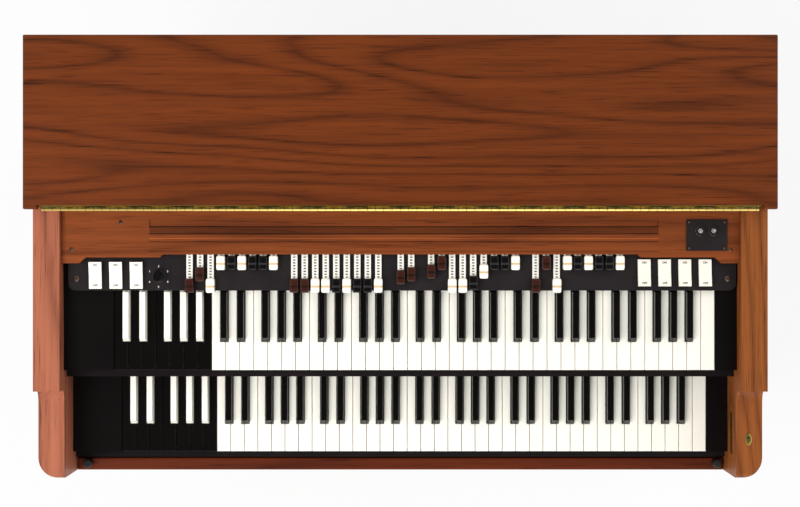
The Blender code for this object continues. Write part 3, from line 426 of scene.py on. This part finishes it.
def plastic(name, colour, roughness, mottle=0.03, grit=0.4 * mm, gloss=0.5, painted_groove_shading=None):
    """Moulded plastic, rubber, paint or felt: one colour with a faint cloudy mottle, and a fine grit in its
    gloss. Painted groove shading is a colour painted in a band across a knob, placed by the knob's UV map,
    where
    the finger groove would be: painted shade where it is darker than the plastic, a painted sheen where it is
    lighter."""
    made, tree, out = new_material(name)
    spot = add_node(tree, "ShaderNodeTexCoord")
    cloud = add_node(tree, "ShaderNodeTexNoise", [(spot.outputs["Object"], 0)], in_2=1 / cloud_size, in_3=3.0)
    base = np.array(linear(colour))[:3]
    tint = add_node(tree, "ShaderNodeValToRGB", [(cloud.outputs[0], 0)])
    tint.color_ramp.elements[0].position = 0.3
    tint.color_ramp.elements[1].position = 0.7
    tint.color_ramp.elements[0].color = [*(base * (1 - mottle)), 1]
    tint.color_ramp.elements[1].color = [*np.minimum(base * (1 + mottle), 1), 1]
    shown = tint.outputs[0]
    # Painted shade: a band across the knob where a finger groove would lie, which the knob's shape lacks; a
    # lighter colour here is a painted sheen.
    if painted_groove_shading:
        split = add_node(tree, "ShaderNodeSeparateXYZ", [(spot.outputs["UV"], 0)])
        line = add_node(tree, "ShaderNodeMath", [(split.outputs[1], 0)], operation="COMPARE", in_1=0.44,
                        in_2=0.07)
        mixed = add_node(tree, "ShaderNodeMix", data_type="RGBA", blend_type="MIX")
        tree.links.new(line.outputs[0], mixed.inputs[0])
        tree.links.new(shown, mixed.inputs[6])
        mixed.inputs[7].default_value = linear(painted_groove_shading)
        shown = mixed.outputs[2]
    grain = add_node(tree, "ShaderNodeTexNoise", [(spot.outputs["Object"], 0)], in_2=1 / grit, in_3=2.0)
    rough = add_node(tree, "ShaderNodeMapRange", [(grain.outputs[0], 0)], in_3=roughness * 0.8,
                     in_4=roughness * 1.2)
    face = add_node(tree, "ShaderNodeBsdfPrincipled", [(shown, "Base Color"),
                                                       (rough.outputs[0], "Roughness")])
    face.inputs["Specular IOR Level"].default_value = gloss
    tree.links.new(face.outputs[0], out.inputs[0])
    return made


seat = 0.1 * mm
bumper_profile = [(7.4 * mm, 0), (7.75 * mm, 1 * mm), (7.6 * mm, 17 * mm), (6.6 * mm, 19 * mm),
                  (2 * mm, 19.6 * mm)]
bumper_y = -356 * mm
rubber = plastic("black rubber", "#181514", 0.6, mottle=0.2)
rail_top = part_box("front_rail")[1][2]
bumpers = [lathe(bumper_profile, (x, bumper_y, rail_top + seat), 28) for x in (-546.5 * mm, 554 * mm)]
surface("fall_bumpers", *gathered(bumpers), [rubber], "case", "slip_black")


# Walnut shelf
# The board behind the controls is walnut veneer with a wide sunken groove and narrow beads cut along
# it. Their shade is painted into the veneer's colour as dark lines, and one bright line is a painted
# highlight.
shade_band_x_middle, shade_band_x_half = 6.1 * mm, 425.7 * mm
# Painted shade lines of the shelf's grooves: y middle and y half in millimetres, and share of shade; the
# negative share is a painted highlight.
groove_shade_lines = [(56.0, 0.7, 0.7), (49.7, 5.9, 0.45), (43.4, 0.7, 0.7), (36.0, 0.9, -0.7), (30.6, 0.8, 0.6),
         (3.0, 1.2, 0.5)]
shelf_painted_shade_bands = [(shade_band_x_middle, shade_band_x_half, y * mm, half * mm, shade) for y, half, shade in groove_shade_lines]
dress(walnut("walnut shelf veneer", "#8a451e", "#391607", "X", place=(4.18, 6.82, 0), ring_count=14,
             painted_shade_bands=shelf_painted_shade_bands), "shelf_panel")


# Black plates and their screws
# Control plate and switch plate are sheet steel, punched and sprayed with black enamel that has a
# slight orange peel. Domed blued screws hold them and the shelf.
plate_pad = 1.0 * mm
switch_rise = 2.3 * mm
plate_screw, shelf_screw, switch_screw = 5.2 * mm, 3.4 * mm, 2.2 * mm
plate_screw_y = -31 * mm
switch_screw_inset = 4.5 * mm
shelf_screw_places = [(-467.6 * mm, 62.8 * mm), (-549.6 * mm, 18 * mm), (552.1 * mm, 17.5 * mm)]
plate_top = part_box("control_plate")[1][2] - plate_pad
shelf_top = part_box("shelf_panel")[1][2]
switch_top = shelf_top + switch_rise
dress(plastic("black enamel", "#211c1d", 0.5, mottle=0.2, grit=0.6 * mm, gloss=0.2), "control_plate",
      "switch_plate")


def screw_at(x, y, z, radius):
    """A domed screw head whose underside stands just over z."""
    return lathe([(radius * 0.96, 0), (radius, 0.4 * mm), (radius * 0.8, 1.3 * mm), (radius * 0.35, 1.9 * mm),
                  (radius * 0.1, 2.0 * mm)], (x, y, z + seat), 20)


low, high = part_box("switch_plate")
screws = [screw_at(x, plate_screw_y, plate_top, plate_screw) for x in (-544.6 * mm, 550.3 * mm)]
screws += [screw_at(x, y, shelf_top, shelf_screw) for x, y in shelf_screw_places]
screws += [screw_at(x, y, switch_top, switch_screw)
           for x in (low[0] + switch_screw_inset, high[0] - switch_screw_inset)
           for y in (low[1] + switch_screw_inset, high[1] - switch_screw_inset)]
blued_steel = metal("blued steel screw", "#6a5a50", 0.4, (5 * mm, 5 * mm, 5 * mm))
surface("panel_screws", *gathered(screws), [blued_steel], "case", "steel")


# Toggle switches
# Two plated steel bat levers, each in a round plated bushing with a ring nut, on the switch plate.
bushing_x = (501.5 * mm, 523.4 * mm)
bushing_y = 48.8 * mm
bushing_profile = [(8.2 * mm, 0), (8.5 * mm, 0.3 * mm), (8.3 * mm, 0.9 * mm), (6.4 * mm, 1.1 * mm),
                   (6.2 * mm, 0.2 * mm)]
plated_bushing = metal("plated bushing", "#e4e4e6", 0.6, (16.667 * mm, 16.667 * mm, 16.667 * mm))
bushings = [lathe(bushing_profile, (x, bushing_y, switch_top + 0.05 * mm), 40) for x in bushing_x]
surface("toggle_bushings", *gathered(bushings), [plated_bushing], "case", "steel")
dress(plated_steel, "start_toggle", "run_toggle")


# Rocker tablets
# Seven white moulded tablets rock on pivots under the plate. Each carries a small black word at each
# end, on and off, printed flat on its slope.
def printed_words(name, words, material, body, slot, under):
    """Flat printed words (text, x, y, height) as one piece, each point laid a hair above the upper side of
    a CAD node."""
    lift = 0.06 * mm
    start_height = 2.0
    size_per_height, boldness = 1.4, 0.05
    item = nodes[under]
    tree = BVHTree.FromPolygons([item.matrix_world @ v.co for v in item.data.vertices],
                                [p.vertices for p in item.data.polygons])
    parts = []
    for text, x, y, height in words:
        curve = bpy.data.curves.new(name, "FONT")
        curve.body = text
        curve.size = height * size_per_height
        curve.offset = height * boldness
        curve.align_x = "CENTER"
        curve.align_y = "CENTER"
        curve.resolution_u = 2
        holder = bpy.data.objects.new(name, curve)
        flat = bpy.data.meshes.new_from_object(holder)
        points = [(v.co.x + x, v.co.y + y) for v in flat.vertices]
        under_points = [tree.ray_cast(Vector((*p, start_height)), Vector((0, 0, -1)))[0] for p in points]
        points = [(*p, below.z + lift) for p, below in zip(points, under_points)]
        parts.append((points, [list(p.vertices) for p in flat.polygons]))
        bpy.data.objects.remove(holder)
        bpy.data.curves.remove(curve)
        bpy.data.meshes.remove(flat)
    return surface(name, *gathered(parts), [material], body, slot, smooth=False)


word_inset, word_height = 5.5 * mm, 3.3 * mm
black_print = plastic("black print", "#1a1715", 0.5, gloss=0.2)
tablets = [f"left_tablet_{i + 1}" for i in range(3)] + [f"right_tablet_{i + 1}" for i in range(4)]
dress(plastic("white tablet plastic", "#f3efe2", 0.3, mottle=0.02), *tablets)
for name in tablets:
    low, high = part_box(name)
    x = (low[0] + high[0]) / 2
    words = [("ON", x, high[1] - word_inset, word_height), ("OFF", x, low[1] + word_inset, word_height)]
    printed_words(f"{name}_print", words, black_print, name, "slip_black", name)


# Rotary knob
# A black moulded knob with a pointer, on a black label with the numbers of its six places in white.
dial = (-405.8 * mm, -27.9 * mm)
dial_radius = 17.5 * mm
number_height = 3.2 * mm
white_print = plastic("white print", "#e8e4da", 0.5, gloss=0.2)
dress(plastic("black knob plastic", "#0a0808", 0.3, gloss=0.3), "vibrato_knob")
bearings = [math.radians(60 * i - 60) for i in range(6)]
numbers = [(str(i + 1), dial[0] + dial_radius * math.sin(bearing), dial[1] + dial_radius * math.cos(bearing),
            number_height) for i, bearing in enumerate(bearings)]
printed_words("dial_numbers", numbers, white_print, "case", "white_plastic", "control_plate")


# Drawbars
# Flat white rods printed with their steps, under rounded moulded knobs in brown, white and black. The
# finger groove across each knob is not in its shape: a band of painted shade marks it, a painted sheen on
# the black knobs. They slide on a black manifold under the shelf.
def printed_rod():
    """Moulded white rod, printed with a dark figure for each step. The figures are drawn as blots, one in
    each unit of the rod's UV map, broken up by a noise."""
    made, tree, out = new_material("printed white rod")
    place = add_node(tree, "ShaderNodeTexCoord").outputs["UV"]
    split = add_node(tree, "ShaderNodeSeparateXYZ", [(place, 0)])
    part = add_node(tree, "ShaderNodeMath", [(split.outputs[1], 0)], operation="FRACT")
    along = add_node(tree, "ShaderNodeMath", [(part.outputs[0], 0)], operation="COMPARE", in_1=0.5,
                     in_2=0.26)
    across = add_node(tree, "ShaderNodeMath", [(split.outputs[0], 0)], operation="COMPARE", in_1=0.5,
                      in_2=0.2)
    blot = add_node(tree, "ShaderNodeTexNoise", [(place, 0)], in_2=7.0, in_3=1.0)
    keep = add_node(tree, "ShaderNodeMath", [(blot.outputs[0], 0)], operation="GREATER_THAN", in_1=0.42)
    mark = add_node(tree, "ShaderNodeMath", [(along.outputs[0], 0), (across.outputs[0], 1)],
                    operation="MULTIPLY")
    ink = add_node(tree, "ShaderNodeMath", [(mark.outputs[0], 0), (keep.outputs[0], 1)], operation="MULTIPLY")
    tint = add_node(tree, "ShaderNodeValToRGB", [(ink.outputs[0], 0)])
    tint.color_ramp.elements[0].color = linear("#f2eee4")
    tint.color_ramp.elements[1].color = linear("#26211f")
    face = add_node(tree, "ShaderNodeBsdfPrincipled", [(tint.outputs[0], "Base Color")], roughness=0.35)
    tree.links.new(face.outputs[0], out.inputs[0])
    return made


drawbar_pitch = 17.63 * mm
drawbar_travel = 38 * mm
steps = 8
front_in = -16.8 * mm
rod_bottom = 938 * mm
rod_half, rod_thickness, rod_length, rod_overlap = 5.25 * mm, 4.4 * mm, 74 * mm, 3 * mm
knob_size = np.array([14.7 * mm, 24 * mm, 13.6 * mm])
knob_lift = 0.2 * mm
knob_squareness = 0.28
# The last colour of each is the painted groove shading: painted shade on the brown and white knobs, a painted
# sheen on the black one.
knob_plastics = {
    "brown": plastic("brown moulded knob", "#38190f", 0.3, gloss=0.35, painted_groove_shading="#1d0d08"),
    "white": plastic("white moulded knob", "#f5f1e6", 0.3, mottle=0.02, painted_groove_shading="#d9b98c"),
    "black": plastic("black moulded knob", "#0c0909", 0.25, gloss=0.35, painted_groove_shading="#2c2c2e"),
}
knob_slots = {"brown": "brown_plastic", "white": "white_plastic", "black": "ebony"}
rod_print = printed_rod()
box_faces = [(0, 2, 3, 1), (4, 5, 7, 6), (0, 1, 5, 4), (2, 6, 7, 3), (0, 4, 6, 2), (1, 3, 7, 5)]


def box_corners(x_range, y_range, z_range):
    """The eight corners that box_faces joins, x changing fastest."""
    return [(x, y, z) for z in z_range for y in y_range for x in x_range]


def knob_surface(x, front):
    """A rounded box: the sines and cosines of longitude and latitude, each raised to a small power with its
    sign kept, times half the size."""
    u = np.linspace(-math.pi, math.pi, 33)[:-1]
    v = np.linspace(-math.pi / 2, math.pi / 2, 17)
    uu, vv = np.meshgrid(u, v)

    def squared(value):
        return np.sign(value) * np.abs(value) ** knob_squareness

    shape = np.stack([squared(np.cos(vv)) * squared(np.cos(uu)), squared(np.cos(vv)) * squared(np.sin(uu)),
                      squared(np.sin(vv))], axis=-1)
    middle = np.array([x, front + knob_size[1] / 2, rod_bottom + knob_size[2] / 2 + knob_lift])
    points, faces = stacked(shape * knob_size / 2 + middle)
    return points, faces[:-2]


def drawbar_piece(name, x, pull, colour, body, node=None):
    """One drawbar, its knob and its printed rod, pulled out by a number of steps. The UV map holds the
    share of the knob's length, and on the rod the share of its width and the count of steps."""
    front = front_in - drawbar_travel * pull / steps
    back = front + knob_size[1]
    points, faces = knob_surface(x, front)
    knob_count = len(faces)
    start = len(points)
    rod = box_corners((x - rod_half, x + rod_half), (back - rod_overlap, back + rod_length),
                      (rod_bottom, rod_bottom + rod_thickness))
    points = np.concatenate([points, rod])
    faces = faces + [[start + i for i in f] for f in box_faces]
    piece = surface(name, points, faces, [knob_plastics[colour], rod_print], body, knob_slots[colour],
                    indices=[0] * knob_count + [1] * len(box_faces))
    corners = points[[loop.vertex_index for loop in piece.data.loops]]
    flat = np.stack([(corners[:, 0] - x + rod_half) / (2 * rod_half),
                     (corners[:, 1] - back) / (drawbar_travel / steps)], axis=1)
    flat[:4 * knob_count, 1] = (corners[:4 * knob_count, 1] - front) / knob_size[1]
    piece.data.uv_layers.new(name="steps").data.foreach_set("uv", flat.ravel())
    if node:
        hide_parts(node)


group_colours = "brown brown white white black white black black white".split()
groups = {"bass": (-353.4 * mm, [8, 4, 8, 0, 0, 0, 0, 0, 0], group_colours),
          "second": (-177.9 * mm, [8] * 9, group_colours),
          "pedal": (0.7 * mm, [5, 4], ["brown", "brown"]),
          "third": (51.7 * mm, [3, 0, 8, 8, 7, 3, 0, 0, 0], group_colours),
          "fourth": (226.9 * mm, [8, 0, 8, 0, 0, 0, 0, 0, 0], group_colours)}
for group, (start, pulls, colours) in groups.items():
    for i, pull in enumerate(pulls):
        place = start + i * drawbar_pitch
        name = f"{group}_drawbar_{i + 1}_finish"
        if group == "second":
            drawbar_piece(name, place, pull, colours[i], f"drawbar_{i + 1}", f"drawbar_{i + 1}")
        else:
            drawbar_piece(name, place, pull, colours[i], "case")

manifold_y = (15.3 * mm, 84.3 * mm)
manifold_height = 15 * mm
rod_gap = 0.3 * mm
low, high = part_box("drawbar_manifold")
manifold = box_corners((low[0], high[0]), manifold_y, (high[2] - manifold_height, rod_bottom - rod_gap))
base = surface("drawbar_base", manifold, box_faces, [rubber], "case", "slip_black", smooth=False)
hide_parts("drawbar_manifold")


# Keys
# Acrylic caps moulded thick and square at the front, ivory white and black, and polished. The
# black ones show soft streaks of light along their tapered sides.
naturals = [f"key_{n}" for n in "C D E F G A B".split()]
sharps = [f"key_{n}_sharp" for n in "C D F G A".split()]
ivory = plastic("ivory acrylic", "#f6f2e6", 0.2, mottle=0.015)
ebony = plastic("black acrylic", "#0b0908", 0.2, mottle=0.1, gloss=0.3)
dress(ivory, "upper_white_keys", "lower_white_keys", *naturals)
dress(ebony, "upper_black_keys", "lower_black_keys", *sharps)


# Cheek blocks and key slips
# Wooden blocks painted satin black close both ends of the manuals, and strips covered in black felt
# run along the key fronts. Both drink in nearly all the light.
dress(plastic("black painted wood", "#0c0909", 0.35, mottle=0.1, gloss=0.12), "left_cheek_block",
      "right_cheek_block")
dress(plastic("black felt", "#191415", 0.8, mottle=0.15, gloss=0.1), "upper_key_slip", "lower_key_slip")


# Lid lock and keyhole plate
# A cast brass lock is let into the right arm. Its keyhole has an oval rim of turned brass, polished
# and lacquered. The hole itself is not cut: two thin near-black discs of two rounds stand over the arm as
# painted shade inside it.
keyhole_x, keyhole_y = 588 * mm, -303 * mm
keyhole_half = (5.5 * mm, 10 * mm)
arm_top = 922 * mm
rim_profile = [(1.0, 0), (1.0, 0.9 * mm), (0.82, 1.2 * mm), (0.8, 0.6 * mm), (0.02, 0.6 * mm)]
shade_disc_rounds = [(2.2 * mm, -300.5 * mm), (1.1 * mm, -305.5 * mm)]
shade_disc_thickness, shade_disc_lift = 0.3 * mm, 0.75 * mm
brass = metal("lacquered brass", "#dcc266", 0.28, (125 * mm, 2.5 * mm, 2.5 * mm))
points, faces = lathe(rim_profile, (0, 0, 0), 40)
points = points * np.array([*keyhole_half, 1]) + np.array([keyhole_x, keyhole_y, arm_top + seat])
surface("keyhole_plate", points, faces, [brass], "case", "brass")
# Painted shade: flat near-black discs stand where the keyhole's hole would be in shadow.
shade_discs = [lathe([(radius, 0), (radius, shade_disc_thickness)], (keyhole_x, y, arm_top + shade_disc_lift), 24)
          for radius, y in shade_disc_rounds]
surface("keyhole_shade_disc", *gathered(shade_discs), [rubber], "case", "slip_black")
dress(brass, "lock_case", "lock_bolt")


# Strip hinge
# A strip hinge rolled from sheet brass and lacquered, nearly as long as the top. The shade in the gaps
# between its short knuckles is painted into its colour, because the solids have fewer and longer knuckles.
knuckle_length, barrel_y, gap_half = 13.65 * mm, 85.4 * mm, 0.6 * mm
hinge_brass = metal("strip hinge brass", "#e3c874", 0.3, (125 * mm, 2.5 * mm, 2.5 * mm),
                    painted_gap_shade=(knuckle_length, barrel_y, gap_half))
dress(hinge_brass, "hinge_fixed_leaf", "hinge_lid_leaf")


# Lid and fall flap
# One wide walnut board folds back over the top on the hinge, with the fall flap folded under it.
# Both show the broad cathedral figure of one flitch.
dress(walnut("walnut lid veneer", "#713410", "#270d03", "X", place=(0.66, 0.22, 0), ring_count=34), "lid",
      "fall_flap")
